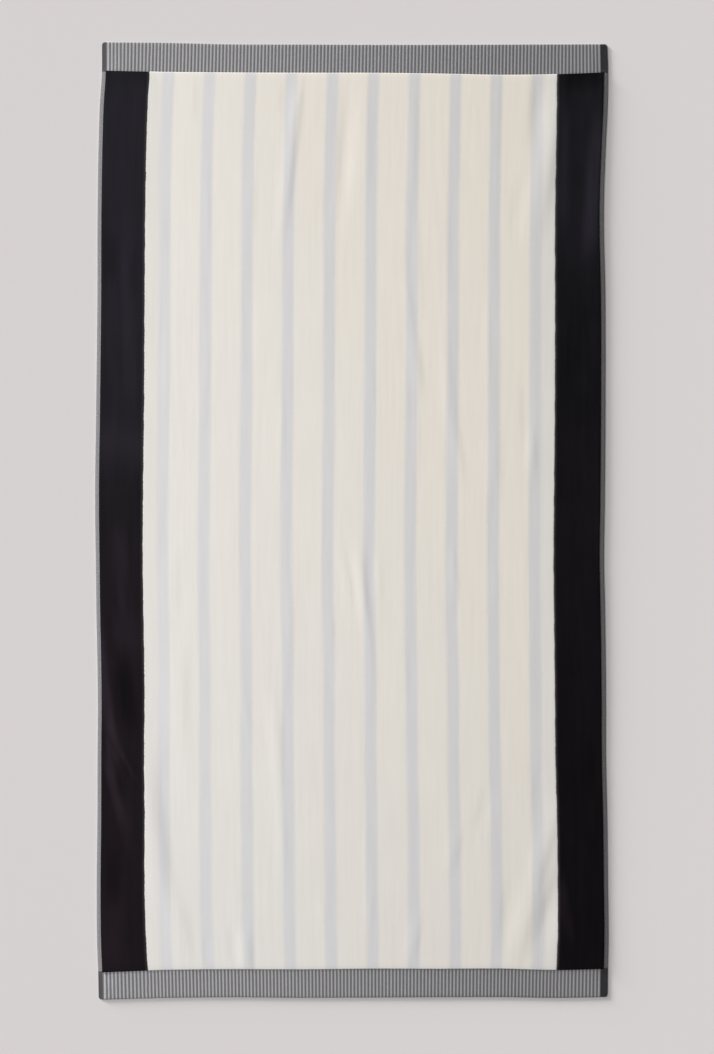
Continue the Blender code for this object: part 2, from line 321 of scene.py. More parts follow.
def end_lines(station):
    return [
        (0.0, curve_through(END_LINES, "lower_edge", station)),
        (LOWER_HEM, curve_through(END_LINES, "lower_hem", station)),
        (PILE_TOP, curve_through(END_LINES, "upper_hem", station)),
        (LENGTH, curve_through(END_LINES, "upper_edge", station)),
    ]


def rounded_corners(across, along):
    """The places with the cloth's four square corners drawn in."""
    from_side = np.minimum(across, WIDTH - across)
    from_end = np.minimum(along, LENGTH - along)
    near = (from_side < CORNER_RADIUS) & (from_end < CORNER_RADIUS)
    x = np.clip(1 - from_side / CORNER_RADIUS, 0, 1)
    y = np.clip(1 - from_end / CORNER_RADIUS, 0, 1)
    inset_x = CORNER_RADIUS * (1 - x * np.sqrt(1 - y * y / 2)) - from_side
    inset_y = CORNER_RADIUS * (1 - y * np.sqrt(1 - x * x / 2)) - from_end
    across = across + np.where(near, inset_x * np.sign(WIDTH / 2 - across), 0)
    along = along + np.where(near, inset_y * np.sign(LENGTH / 2 - along), 0)
    return across, along


def smooth_hump(distance, reach):
    return np.where(np.abs(distance) < reach, 0.5 + 0.5 * np.cos(math.pi * distance / reach), 0)


def raised(right, up, folds):
    """Height of some folds at places in the towel's frame. Their right-facing slopes are the
    steeper ones."""
    height = 0 * right
    for fold in folds:
        lean = math.radians(fold.lean_degrees)
        dx = right - fold.right * MM
        dy = up - fold.up * MM
        across = dx * math.cos(lean) - dy * math.sin(lean)
        along = dx * math.sin(lean) + dy * math.cos(lean)
        steep = (across > 0) == (fold.height > 0)
        reach = fold.width * MM * np.where(steep, STEEP_SHARE, 1 - STEEP_SHARE)
        hump = smooth_hump(across, reach) * smooth_hump(along, fold.length * MM / 2)
        height = height + fold.height * MM * hump
    return height


def uneven(place, wavelength, start):
    """An uneven smooth line, between about -1 and 1, along some places."""
    turns = 2 * math.pi * place / wavelength
    waves = [wave.height * np.sin(wave.turns * turns + wave.start * start) for wave in WAVES]
    return sum(waves) / (WAVES[0].height + WAVES[1].height)


def lay(across, along):
    """Where places on the flat cloth lie, and how high their underside is."""
    across, along = rounded_corners(across, along)
    right = across - WIDTH / 2 + between_lines(across, side_lines(along - LENGTH / 2))
    up = along - LENGTH / 2 + between_lines(along, end_lines(across - WIDTH / 2))
    for border in (GROUND_START, GROUND_END):
        near = smooth_hump(across - border, BORDER_REACH)
        start = BORDER_START * border
        right = right + BORDER_WOBBLE * near * uneven(along, BORDER_WAVE, start)
    return right, up, raised(right, up, RIDGES)


# ---------------------------------------------------------------------------------------------
# Sheets
# ---------------------------------------------------------------------------------------------


def evenly(start, end, spacing):
    return list(np.linspace(start, end, max(1, round((end - start) / spacing)) + 1))


def rounded(distance, radius, share):
    """Share of the full height at a distance from an edge, rounded over a radius."""
    inside = np.clip(distance / radius, 0, 1)
    return share + (1 - share) * np.sqrt(1 - (1 - inside) ** 2)


def edge_places(radius):
    return [radius * step for step in EDGE_STEPS]


def column_places(start, end, left_radius, right_radius, spacing):
    """Places across a piece, denser where its edges are rounded over those radii."""
    left = [start + edge for edge in edge_places(left_radius)]
    right = [end - edge for edge in edge_places(right_radius)]
    return sorted(set(left + evenly(left[-1], right[-1], spacing)[1:-1] + right))


def rimmed_places(start, end, spacing):
    """Places across a flat-woven piece, denser at the towel's rim: the start if that is 0."""
    edges = edge_places(RIM_RADIUS)
    if start == 0:
        return edges + evenly(edges[-1], end, spacing)[1:]
    return evenly(start, end - edges[-1], spacing)[:-1] + [end - edge for edge in edges[::-1]]


def closed_sheet(name, columns, rows, height_of, map_length=None, lift=0.0):
    """A closed sheet over a grid of flat places: top, underside and the wall between them.
    Its "cloth" map holds each point's flat place, in metres. A lift raises the underside."""
    across, along = (grid.ravel() for grid in np.meshgrid(columns, rows))
    right, up, low = lay(across, along)
    high = low + height_of(across, along)
    top = np.column_stack((right, up, high))
    underside = np.column_stack((right, up, low + lift))
    wide, count = len(columns), len(across)
    corner = np.arange(count).reshape(len(rows), wide)
    upper = np.stack((corner[:-1, :-1], corner[:-1, 1:], corner[1:, 1:], corner[1:, :-1]), -1)
    upper = upper.reshape(-1, 4)
    lower = upper[:, ::-1] + count
    ring = np.concatenate(
        (corner[0, :-1], corner[:-1, -1], corner[-1, :0:-1], corner[:0:-1, 0])
    )
    after = np.roll(ring, -1)
    wall = np.stack((ring, ring + count, after + count, after), -1)
    faces = np.concatenate((upper, lower, wall))
    mesh = bpy.data.meshes.new(name)
    mesh.from_pydata(np.concatenate((top, underside)).tolist(), [], faces.tolist())
    places = np.column_stack((np.tile(across, 2), np.tile(along, 2)))
    corners = np.empty(len(mesh.loops), np.int32)
    mesh.loops.foreach_get("vertex_index", corners)
    cloth = mesh.uv_layers.new(name="cloth")
    cloth.data.foreach_set("uv", places[corners].ravel())
    add_bake_map(mesh, places[corners], corners >= count, len(wall), map_length)
    mesh.shade_smooth()
    mesh.set_sharp_from_angle(angle=math.radians(SHARP_DEGREES))
    sheet = bpy.data.objects.new(name, mesh)
    bpy.context.scene.collection.objects.link(sheet)
    return sheet


def add_bake_map(mesh, places, is_low, walls, map_length):
    """A map of the whole sheet inside the unit square. Top and underside share it, the walls
    reach a little outside them, and a long narrow sheet is cut into lengths laid side by side."""
    low, high = places.min(0), places.max(0)
    size = high - low
    sides = 4
    face_places = places.reshape(-1, sides, 2)
    face_low = is_low.reshape(-1, sides).copy()
    face_low[: len(face_low) - walls] = False
    middle = (low + high) / 2
    outwards = np.sign(face_places - middle) * face_low[..., None] * BAKE_MARGIN
    long_axis = int(size[1] > size[0])
    share = (face_places - low) / size
    pieces = max(1, round(size[long_axis] / map_length)) if map_length else 1
    along = share[..., long_axis] * pieces
    piece = np.clip(np.floor(along.mean(1)), 0, pieces - 1)[:, None]
    along = along - piece
    across = (share[..., 1 - long_axis] + piece * (1 + 2 * BAKE_MARGIN)) / pieces
    scale = 1 - 4 * BAKE_MARGIN
    across = across / (1 + 2 * BAKE_MARGIN)
    u = 2 * BAKE_MARGIN + scale * along + outwards[..., long_axis]
    v = 2 * BAKE_MARGIN + scale * across + outwards[..., 1 - long_axis] / pieces
    bake = mesh.uv_layers.new(name="OFBake")
    bake.data.foreach_set("uv", np.stack((u, v), -1).ravel())


def pile_sheet(name, start, end, spacing):
    """Velour pile from one place across to another, between the hems."""
    outer = {LEFT_STRIP, PILE_RIGHT}
    left_radius = PILE_EDGE_RADIUS if start in outer else BORDER_RADIUS
    right_radius = PILE_EDGE_RADIUS if end in outer else BORDER_RADIUS
    columns = column_places(start, end, left_radius, right_radius, spacing)
    rows = column_places(LOWER_HEM, PILE_TOP, PILE_EDGE_RADIUS, PILE_EDGE_RADIUS, PILE_ROWS)

    def height_of(across, along):
        height = 1.0
        for place, radius in ((across - start, left_radius), (end - across, right_radius)):
            share = PILE_EDGE_SHARE if radius == PILE_EDGE_RADIUS else BORDER_SHARE
            height = np.minimum(height, rounded(place, radius, share))
        for place in (along - LOWER_HEM, PILE_TOP - along):
            height = np.minimum(height, rounded(place, PILE_EDGE_RADIUS, PILE_EDGE_SHARE))
        right, up, _ = lay(across, along)
        return PILE_THICKNESS * height + raised(right, up, CREASES)

    return closed_sheet(name, columns, rows, height_of, lift=PILE_LIFT)


def flat_weave_height(across, along):
    """The flat weave thins towards the towel's edges, and its rim is rounded."""
    from_side = np.minimum(across, WIDTH - across)
    from_end = np.minimum(along, LENGTH - along)
    from_rim = np.minimum(from_side, from_end)
    inwards = (from_side - HEM_RISE_START) / (HEM_RISE_END - HEM_RISE_START)
    rise = HEM_RISE * np.clip(from_end / LOWER_HEM, 0, 1) * np.clip(inwards, 0, 1)
    slope = SIDE_SLOPE_SHARE + (1 - SIDE_SLOPE_SHARE) * np.clip(from_side / SIDE_SLOPE, 0, 1)
    rim = rounded(from_rim, RIM_RADIUS, RIM_SHARE)
    return FLAT_WEAVE_THICKNESS * np.minimum(slope, rim) + rise


def rib(across):
    """Height of the pinstripes' ribs."""
    return RIB_HEIGHT * np.abs(np.sin(2 * math.pi * across / PINSTRIPE_PITCH))


def hem_sheet(name, start, end):
    """An end hem, over the whole width; its inner edge is tucked under the pile."""
    spacing = PINSTRIPE_PITCH / COLUMNS_PER_PINSTRIPE
    columns = column_places(0, WIDTH, RIM_RADIUS, RIM_RADIUS, spacing)
    rows = rimmed_places(start, end, HEM_ROWS)

    def height_of(across, along):
        return flat_weave_height(across, along) + rib(across)

    return closed_sheet(name, columns, rows, height_of, HEM_MAP_LENGTH)


def strip_sheet(name, start, end):
    """A side strip, between the hems; its inner edge is tucked under the pile."""
    columns = rimmed_places(start, end, STRIP_COLUMNS)
    rows = evenly(LOWER_HEM, PILE_TOP, STRIP_ROWS)
    return closed_sheet(name, columns, rows, flat_weave_height, STRIP_MAP_LENGTH)


def stitch_places():
    """The middle of each stitch on the flat cloth, and whether it runs lengthwise."""
    crosswise = evenly(STITCH_PITCH, WIDTH - STITCH_PITCH, STITCH_PITCH)
    lengthwise = evenly(LOWER_HEM, PILE_TOP, STITCH_PITCH)
    hem_rows = (LOWER_HEM - STITCH_INSET, PILE_TOP + STITCH_INSET)
    side_rows = (LEFT_STRIP / 2, WIDTH - RIGHT_STRIP / 2)
    places = [(across, along, 0) for along in hem_rows for across in crosswise]
    places += [(across, along, 1) for across in side_rows for along in lengthwise]
    return np.array(places).T[..., None]


def stitches():
    """All the stitches, as one piece of small closed spindles that dip into the weave."""
    across, along, lengthwise = stitch_places()
    place, thickness, height = np.repeat(np.array(STITCH_RINGS), STITCH_SIDES, 0).T
    turn = np.tile(2 * math.pi * np.arange(STITCH_SIDES) / STITCH_SIDES, len(STITCH_RINGS))
    run = STITCH_LENGTH * place
    side = THREAD_RADIUS * thickness * np.cos(turn)
    over = height * MM + THREAD_RADIUS * thickness * np.sin(turn)
    across = (across + np.where(lengthwise, -side, run)).ravel()
    along = (along + np.where(lengthwise, run, side)).ravel()
    count = len(across) // len(turn)
    right, up, low = lay(across, along)
    high = low + flat_weave_height(across, along) + np.tile(over, count)

    ring = np.arange(STITCH_SIDES)
    after = np.roll(ring, -1)
    steps = STITCH_SIDES * np.arange(len(STITCH_RINGS) - 1)[:, None]
    walls = np.stack((ring, after, after + STITCH_SIDES, ring + STITCH_SIDES), -1)
    walls = (walls + steps[..., None]).reshape(-1, 4)
    faces = []
    for first in range(0, len(across), len(turn)):
        faces += (walls + first).tolist()
        faces.append((first + ring[::-1]).tolist())
        faces.append((first + len(turn) - STITCH_SIDES + ring).tolist())
    mesh = bpy.data.meshes.new("stitches")
    mesh.from_pydata(np.column_stack((right, up, high)).tolist(), [], faces)
    corners = np.empty(len(mesh.loops), np.int32)
    mesh.loops.foreach_get("vertex_index", corners)
    flat = np.column_stack((across, along))
    mesh.uv_layers.new(name="cloth").data.foreach_set("uv", flat[corners].ravel())
    # Every stitch shares one place on the bake map, inside the unit square
    u = 0.5 + STITCH_MAP_LENGTH * place + STITCH_MAP_BEND * np.cos(turn)
    v = 0.5 + STITCH_MAP_WIDTH * np.sin(turn)
    shared = np.tile(np.column_stack((u, v)), (count, 1))
    mesh.uv_layers.new(name="OFBake").data.foreach_set("uv", shared[corners].ravel())
    mesh.shade_smooth()
    sewing = bpy.data.objects.new("stitches", mesh)
    bpy.context.scene.collection.objects.link(sewing)
    return sewing


# ---------------------------------------------------------------------------------------------
# Materials
# ---------------------------------------------------------------------------------------------
CREAM_LOW = (0.753, 0.736, 0.711)  # towards the lower left
CREAM_HIGH = (0.790, 0.727, 0.632)  # towards the upper right
ACROSS_SHARE = 0.62  # of that change, from side to side
PALE_BORDER = 28 * MM  # beside the dark bands, where the cream is paler
PALE_SOFTNESS = 6 * MM
PALE_LOW = (0.745, 0.718, 0.683)
PALE_HIGH = (0.715, 0.692, 0.648)
STRIPE_LOW = (0.687, 0.676, 0.679)
STRIPE_HIGH = (0.630, 0.620, 0.615)
# Painted sheen: the black pile is drawn lighter and bluer towards the top, over BLACK_CHANGE
BLACK_LOW = (0.0047, 0.0031, 0.0044)
BLACK_HIGH = (0.0058, 0.0053, 0.0072)
WHITE_YARN = (0.392, 0.385, 0.395)
BLACK_YARN = (0.155, 0.150, 0.157)
# Painted light: the hems' dark side at the left is drawn lighter than the one at the right, where the
# low light from the left falls on it
DARK_SIDE_LEFT = (0.072, 0.069, 0.072)
DARK_SIDE_RIGHT = (0.043, 0.042, 0.045)
THREAD_GREY = (0.235, 0.232, 0.235)
RAGGED = 3.0 * MM
BORDER_SHARPNESS = 0.2 * MM
BLACK_OVERLAP = 0.5 * MM  # of the black pile over the cream
STRAY_SHARE = 0.13
STRAY_REACH = 6 * MM
BLACK_CHANGE = (0.2 * LENGTH, 0.9 * LENGTH)

# Noise: the size of its features in mm, its detail and its seed
Noise = namedtuple("Noise", "across along detail seed")
GRAIN = Noise(1.3, 1.6, 2.0, 5.3)
STREAKS = Noise(9, 130, 3.0, 1.9)
CLOUDS = Noise(45, 90, 2.0, 7.7)
STRIPE_WOBBLE = Noise(30, 8, 2.0, 3.1)
RAGGED_YARNS = Noise(1.3, 0.9, 1.0, 8.3)
PINSTRIPE_WOBBLE = Noise(4, 2.2, 1.0, 2.3)
HEM_GRAIN = Noise(0.9, 0.9, 1.0, 4.1)
MIXED_YARNS = Noise(1.4, 2.2, 1.0, 6.1)
TWIST = Noise(0.5, 0.5, 1.0, 9.2)
SEED_STEPS = (1, 1.7, 0.3)  # by which a seed moves the noise

# How far noise changes a colour, as a share of it, or moves a line
Tones = namedtuple("Tones", "grain streaks clouds")
CREAM_TONES = Tones(0.06, 0.055, 0.03)
BLACK_TONES = Tones(0.9, 0.8, 0.6)
HEM_GRAIN_TONE = 0.25
TWIST_TONE = 0.4
STRIPE_WOBBLE_REACH = 2.0 * MM
PINSTRIPE_WOBBLE_REACH = 0.5 * MM

# Speckles of the side strips: the noise in them, and the levels between which yarn is white
SPECKLE_NOISE = 1.6
SPECKLE_DARK = -0.15
SPECKLE_WHITE = 0.35

# Bump of each weave: its strength, and the height that it stands for
Bump = namedtuple("Bump", "strength height")
PILE_BUMP = Bump(0.3, 0.3 * MM)
PILE_BUMP_GRAIN = 0.6  # against the streaks
HEM_BUMP = Bump(0.5, 0.25 * MM)
STRIP_BUMP = Bump(0.4, 0.15 * MM)
SHEEN_ROUGHNESS = 0.5

PAINTED_PATCH_SOFTNESS = 90 * MM
PAINTED_PATCH_SOFT_SHARE = 0.4  # of a patch's size, at most
# Painted sheen and shade on the dark pile: patches and streaks drawn lighter or darker, in mm from
# the middle; sheen where the low light from the left catches the pile, shade along its folds
PaintedPatch = namedtuple("PaintedPatch", "right up length width tone lean_degrees")
PAINTED_SHEEN_AND_SHADE = (
    PaintedPatch(-412, 455, 790, 200, 1.42, 0),
    PaintedPatch(-398, 370, 420, 34, 0.50, -2),
    PaintedPatch(-430, 470, 130, 40, -0.60, 0),
    PaintedPatch(-412, -40, 490, 200, 0.95, 0),
    PaintedPatch(-412, -500, 740, 200, 0.95, 0),
    PaintedPatch(-406, -95, 230, 34, 0.90, -4),
    PaintedPatch(-430, -205, 120, 30, -0.80, -8),
    PaintedPatch(-438, -320, 320, 30, 1.90, -7),
    PaintedPatch(-402, -300, 230, 44, -0.90, -7),
    PaintedPatch(-422, -385, 130, 24, 1.10, -14),
    PaintedPatch(-412, -418, 120, 14, -1.30, -30),
    PaintedPatch(-403, -430, 100, 14, 1.60, -30),
    PaintedPatch(-424, -475, 190, 26, 1.80, -13),
    PaintedPatch(-404, -540, 160, 34, 0.60, -6),
    PaintedPatch(-425, -630, 140, 40, -0.50, 0),
    PaintedPatch(-432, -745, 200, 70, 0.90, 0),
    PaintedPatch(406, 645, 430, 170, 0.45, 0),
    PaintedPatch(434, 600, 320, 40, 1.60, 3),
    PaintedPatch(376, 640, 280, 34, 1.00, 0),
    PaintedPatch(410, 810, 110, 140, -0.80, 0),
    PaintedPatch(406, 290, 330, 170, -0.20, 0),
    PaintedPatch(406, -600, 560, 170, -0.16, 0),
    PaintedPatch(376, -690, 170, 30, 0.90, -8),
)


class Weave:
    """Shader nodes of one cloth, worked out from its flat coordinates."""

    def __init__(self, name, roughness, sheen, gloss):
        self.material = bpy.data.materials.new(name)
        self.material.use_nodes = True
        self.tree = self.material.node_tree
        self.shader = self.tree.nodes["Principled BSDF"]
        self.shader.inputs["Roughness"].default_value = roughness
        self.shader.inputs["Sheen Weight"].default_value = sheen
        self.shader.inputs["Sheen Roughness"].default_value = SHEEN_ROUGHNESS
        self.shader.inputs["Specular IOR Level"].default_value = gloss
        flat = self.tree.nodes.new("ShaderNodeUVMap")
        flat.uv_map = "cloth"
        split = self.tree.nodes.new("ShaderNodeSeparateXYZ")
        self.tree.links.new(flat.outputs["UV"], split.inputs[0])
        self.flat = flat.outputs["UV"]
        self.across, self.along = split.outputs["X"], split.outputs["Y"]

    def feed(self, socket, value):
        if isinstance(value, bpy.types.NodeSocket):
            self.tree.links.new(value, socket)
        else:
            socket.default_value = value

    def math(self, operation, *terms):
        made = self.tree.nodes.new("ShaderNodeMath")
        made.operation = operation
        for socket, term in zip(made.inputs, terms):
            self.feed(socket, term)
        return made.outputs[0]

    def smooth(self, value, start, end, low=0.0, high=1.0):
        """low where the value is under start, high over end, and smooth between them."""
        made = self.tree.nodes.new("ShaderNodeMapRange")
        made.interpolation_type = "SMOOTHSTEP"
        for name, term in zip(
            ("Value", "From Min", "From Max", "To Min", "To Max"), (value, start, end, low, high)
        ):
            self.feed(made.inputs[name], term)
        return made.outputs["Result"]

    def mottle(self, noise):
        """Noise from 0 to 1."""
        place = self.tree.nodes.new("ShaderNodeMapping")
        place.inputs["Location"].default_value = [noise.seed * step for step in SEED_STEPS]
        scale = (1 / (noise.across * MM), 1 / (noise.along * MM), 1)
        place.inputs["Scale"].default_value = scale
        self.feed(place.inputs["Vector"], self.flat)
        made = self.tree.nodes.new("ShaderNodeTexNoise")
        made.noise_dimensions = "2D"
        made.inputs["Scale"].default_value = 1.0
        made.inputs["Detail"].default_value = noise.detail
        self.feed(made.inputs["Vector"], place.outputs["Vector"])
        return made.outputs["Fac"]

    def centred(self, value, amount):
        """Noise from 0 to 1 turned into -amount/2 to amount/2."""
        return self.math("MULTIPLY", self.math("SUBTRACT", value, 0.5), amount)

    def blend(self, share, first, second):
        """The first colour where the share is 0, and the second where it is 1."""
        made = self.tree.nodes.new("ShaderNodeMix")
        made.data_type = "RGBA"
        # The node's colour sockets have no names of their own, so they go by number
        self.feed(made.inputs["Factor"], share)
        for socket, colour in ((made.inputs[6], first), (made.inputs[7], second)):
            self.feed(socket, (*colour, 1.0) if isinstance(colour, tuple) else colour)
        return made.outputs[2]

    def brighten(self, colour, amount):
        """The colour times a number that may vary."""
        made = self.tree.nodes.new("ShaderNodeVectorMath")
        made.operation = "SCALE"
        self.feed(made.inputs[0], colour)
        self.feed(made.inputs["Scale"], amount)
        return made.outputs[0]

    def turned(self, painted_patch):
        """Distances from the middle of a patch of painted sheen or shade, across and along its own
        lean.
        """
        lean = math.radians(painted_patch.lean_degrees)
        dx = self.math("SUBTRACT", self.across, painted_patch.right * MM + WIDTH / 2)
        dy = self.math("SUBTRACT", self.along, painted_patch.up * MM + LENGTH / 2)
        return (
            self.math("MULTIPLY_ADD", dx, math.cos(lean), self.math("MULTIPLY", dy, -math.sin(lean))),
            self.math("MULTIPLY_ADD", dx, math.sin(lean), self.math("MULTIPLY", dy, math.cos(lean))),
        )

    def patch(self, painted_patch):
        """1 in the middle of a patch of painted sheen or shade, and 0 outside it."""
        share = 1.0
        for distance, size in zip(self.turned(painted_patch), (painted_patch.width * MM, painted_patch.length * MM)):
            core = size / 2 - min(PAINTED_PATCH_SOFTNESS, PAINTED_PATCH_SOFT_SHARE * size)
            inside = self.smooth(self.math("ABSOLUTE", distance), size / 2, core)
            share = self.math("MULTIPLY", inside, share)
        return share

    def bump(self, height, bump):
        made = self.tree.nodes.new("ShaderNodeBump")
        made.inputs["Strength"].default_value = bump.strength
        made.inputs["Distance"].default_value = bump.height
        self.feed(made.inputs["Height"], height)
        self.feed(self.shader.inputs["Normal"], made.outputs["Normal"])

    def colour(self, colour):
        self.feed(self.shader.inputs["Base Color"], colour)


def within_borders(cloth, across, softness):
    """1 on the cream ground and 0 on the black bands, changing over a softness each way."""
    start, end = GROUND_START + BLACK_OVERLAP, GROUND_END - BLACK_OVERLAP
    left = cloth.smooth(across, start - softness, start + softness)
    right = cloth.smooth(across, end + softness, end - softness)
    return cloth.math("MULTIPLY", left, right)


def in_ground(cloth):
    """Share of cream yarn: a slightly ragged border, with a few yarns that stray past it."""
    ragged = cloth.centred(cloth.mottle(RAGGED_YARNS), RAGGED)
    border = within_borders(cloth, cloth.math("ADD", cloth.across, ragged), BORDER_SHARPNESS)
    straying = cloth.math("MULTIPLY", within_borders(cloth, cloth.across, STRAY_REACH), STRAY_SHARE)
    return cloth.math("MULTIPLY_ADD", border, 1 - STRAY_SHARE, straying)


def grained(cloth, tones):
    """Bump of cut pile, and its tone: fine grain, warp streaks and soft clouds."""
    grain, streaks, clouds = (cloth.mottle(noise) for noise in (GRAIN, STREAKS, CLOUDS))
    height = cloth.math("ADD", cloth.math("MULTIPLY", grain, PILE_BUMP_GRAIN), streaks)
    cloth.bump(height, PILE_BUMP)
    tone = cloth.math("ADD", 1.0, cloth.centred(grain, tones.grain))
    tone = cloth.math("ADD", tone, cloth.centred(streaks, tones.streaks))
    return cloth.math("ADD", tone, cloth.centred(clouds, tones.clouds))


def striped_velour():
    """Cream cut pile with soft grey stripes."""
    cloth = Weave("striped_velour", roughness=0.95, sheen=0.04, gloss=0.05)
    tone = grained(cloth, CREAM_TONES)
    wobble = cloth.centred(cloth.mottle(STRIPE_WOBBLE), STRIPE_WOBBLE_REACH)
    across = cloth.math("ADD", cloth.across, wobble)
    from_stripe = cloth.math(
        "PINGPONG", cloth.math("SUBTRACT", across, FIRST_STRIPE), STRIPE_PITCH / 2
    )
    stripe = cloth.smooth(
        from_stripe, STRIPE_WIDTH / 2 + STRIPE_SOFTNESS, STRIPE_WIDTH / 2 - STRIPE_SOFTNESS
    )
    upwards = cloth.math("MULTIPLY", cloth.along, (1 - ACROSS_SHARE) / LENGTH)
    warmth = cloth.math("MULTIPLY_ADD", cloth.across, ACROSS_SHARE / WIDTH, upwards)
    from_border = cloth.math(
        "MINIMUM",
        cloth.math("SUBTRACT", cloth.across, GROUND_START),
        cloth.math("SUBTRACT", GROUND_END, cloth.across),
    )
    pale = cloth.smooth(from_border, PALE_BORDER + PALE_SOFTNESS, PALE_BORDER - PALE_SOFTNESS)
    pale_cream = cloth.blend(cloth.smooth(cloth.along, 0.0, LENGTH), PALE_LOW, PALE_HIGH)
    grey = cloth.blend(warmth, STRIPE_LOW, STRIPE_HIGH)
    cream = cloth.blend(warmth, CREAM_LOW, CREAM_HIGH)
    cream = cloth.blend(pale, cream, pale_cream)
    pile = cloth.brighten(cloth.blend(stripe, cream, grey), tone)
    cloth.colour(cloth.blend(in_ground(cloth), BLACK_HIGH, pile))
    return cloth.material


def black_velour():
    """Black cut pile with painted sheen and shade: lighter towards the top, and lighter or darker in
    patches and streaks.
    """
    cloth = Weave("black_velour", roughness=0.9, sheen=0.0, gloss=0.08)
    tone = grained(cloth, BLACK_TONES)
    # Painted sheen and shade, patch by patch
    for painted_patch in PAINTED_SHEEN_AND_SHADE:
        tone = cloth.math("ADD", tone, cloth.math("MULTIPLY", cloth.patch(painted_patch), painted_patch.tone))
    # Painted sheen: the black drawn lighter and bluer towards the top
    black = cloth.blend(cloth.smooth(cloth.along, *BLACK_CHANGE), BLACK_LOW, BLACK_HIGH)
    cloth.colour(cloth.blend(in_ground(cloth), cloth.brighten(black, tone), CREAM_LOW))
    return cloth.material


def pinstripe_weave():
    """Flat weave of the end hems: black and white pinstripes between plain dark sides."""
    cloth = Weave("pinstripe_weave", roughness=0.8, sheen=0.05, gloss=0.15)
    wobble = cloth.centred(cloth.mottle(PINSTRIPE_WOBBLE), PINSTRIPE_WOBBLE_REACH)
    across = cloth.math("ADD", cloth.across, wobble)
    from_white = cloth.math(
        "PINGPONG", cloth.math("SUBTRACT", across, FIRST_PINSTRIPE), PINSTRIPE_PITCH / 2
    )
    edge = WHITE_SHARE * PINSTRIPE_PITCH / 2
    white = cloth.smooth(from_white, edge + PINSTRIPE_SOFTNESS, edge - PINSTRIPE_SOFTNESS)
    pinstripes = cloth.blend(white, BLACK_YARN, WHITE_YARN)
    left, right = DARK_LEFT, WIDTH - DARK_RIGHT
    left_side = cloth.smooth(across, left + DARK_SOFTNESS, left - DARK_SOFTNESS)
    right_side = cloth.smooth(across, right - DARK_SOFTNESS, right + DARK_SOFTNESS)
    picks = cloth.math("DIVIDE", cloth.math("PINGPONG", cloth.along, PICK), PICK)
    grain = cloth.mottle(HEM_GRAIN)
    # Painted light: the hems drawn lighter at the left and darker at the right
    painted_light_across = cloth.smooth(cloth.across, 0.0, WIDTH, HEM_TONE_LEFT, HEM_TONE_RIGHT)
    upwards = cloth.smooth(cloth.along, 0.0, LENGTH, 1.0, UPPER_HEM_TONE)
    tone = cloth.math("MULTIPLY_ADD", painted_light_across, upwards, cloth.centred(grain, HEM_GRAIN_TONE))
    # Painted light: the left dark side drawn lighter than the right one
    woven = cloth.blend(left_side, pinstripes, DARK_SIDE_LEFT)
    cloth.colour(cloth.brighten(cloth.blend(right_side, woven, DARK_SIDE_RIGHT), tone))
    cloth.bump(cloth.math("ADD", picks, grain), HEM_BUMP)
    return cloth.material


def speckled_weave():
    """Flat weave of the side strips: black and white yarns mixed thread by thread."""
    cloth = Weave("speckled_weave", roughness=0.8, sheen=0.05, gloss=0.15)
    warp, weft = (
        cloth.math("SINE", cloth.math("MULTIPLY", place, 2 * math.pi / pitch))
        for place, pitch in ((cloth.across, WARP_PITCH), (cloth.along, WEFT_PITCH))
    )
    mixed = cloth.centred(cloth.mottle(MIXED_YARNS), SPECKLE_NOISE)
    threads = cloth.math("MULTIPLY_ADD", warp, weft, mixed)
    white = cloth.smooth(threads, SPECKLE_DARK, SPECKLE_WHITE)
    # Painted light and shade: the left strip drawn lighter, the right one darker
    painted_light_across = cloth.smooth(cloth.across, 0.0, WIDTH, STRIP_TONE_LEFT, STRIP_TONE_RIGHT)
    cloth.colour(cloth.brighten(cloth.blend(white, BLACK_YARN, WHITE_YARN), painted_light_across))
    cloth.bump(threads, STRIP_BUMP)
    return cloth.material


def sewing_thread():
    """Grey sewing thread, a little uneven."""
    cloth = Weave("sewing_thread", roughness=0.7, sheen=0.05, gloss=0.2)
    twist = cloth.centred(cloth.mottle(TWIST), TWIST_TONE)
    cloth.colour(cloth.brighten(THREAD_GREY, cloth.math("ADD", 1.0, twist)))
    return cloth.material


# ---------------------------------------------------------------------------------------------
# The towel
# ---------------------------------------------------------------------------------------------


def dress(sheet, material):
    sheet.data.materials.append(material)
    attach(sheet, "root")
    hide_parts("towel")
    return sheet


def make_towel():
    pile = pile_sheet("ground", GROUND_START, GROUND_END, GROUND_COLUMNS)
    ground = dress(pile, striped_velour())
    black = black_velour()
    pinstripes = pinstripe_weave()
    speckled = speckled_weave()
    others = [
        dress(pile_sheet("left_band", LEFT_STRIP, GROUND_START, BAND_COLUMNS), black),
        dress(pile_sheet("right_band", GROUND_END, PILE_RIGHT, BAND_COLUMNS), black),
        dress(hem_sheet("lower_hem", 0, LOWER_HEM + TUCK), pinstripes),
        dress(hem_sheet("upper_hem", PILE_TOP - TUCK, LENGTH), pinstripes),
        dress(strip_sheet("left_strip", 0, LEFT_STRIP + TUCK), speckled),
        dress(strip_sheet("right_strip", PILE_RIGHT - TUCK, WIDTH), speckled),
        dress(stitches(), sewing_thread()),
    ]


# ---------------------------------------------------------------------------------------------
# Floor, light and camera
# ---------------------------------------------------------------------------------------------
PIXEL = 1.783 * MM  # of the photograph, on the cloth
IMAGE_WIDTH, IMAGE_HEIGHT = 714, 1054
TOWEL_MIDDLE_PIXEL = (352.0, 521.2)
LENS = 85  # mm, as is the sensor, along the picture's longer side
SENSOR = 36

FLOOR_SIZE = 60
FLOOR_DROP = 0.4 * MM  # below the towel
FLOOR_COLOUR = (0.696, 0.660, 0.659)

